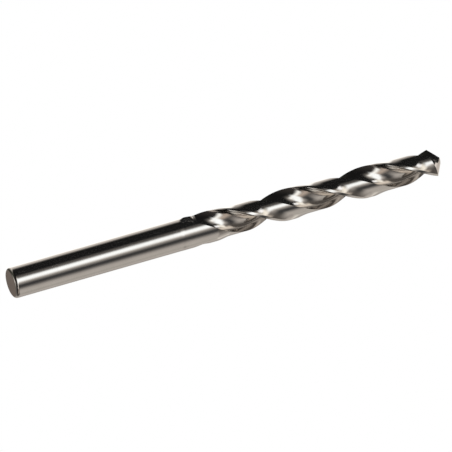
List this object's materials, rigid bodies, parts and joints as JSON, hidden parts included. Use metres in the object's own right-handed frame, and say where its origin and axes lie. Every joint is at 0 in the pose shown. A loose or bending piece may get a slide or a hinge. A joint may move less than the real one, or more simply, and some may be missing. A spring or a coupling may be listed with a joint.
{
  "type": "twist drill bit",
  "caption": "Jobber-length twist drill bit: plain round shank, right-hand spiral flutes with ground margins and a conical cutting point.",
  "frame": {"origin": "middle of the flat end of the shank, the face the drill stands on", "axes": "+Z along the drill's axis from the shank to the point; the two lips run parallel to X"},
  "size_m": [0.008, 0.008, 0.117],
  "materials": {
    "steel": "bright ground high speed steel"
  },
  "bodies": {
    "root": {"drill_bit": "steel"}
  },
  "joints": []
}
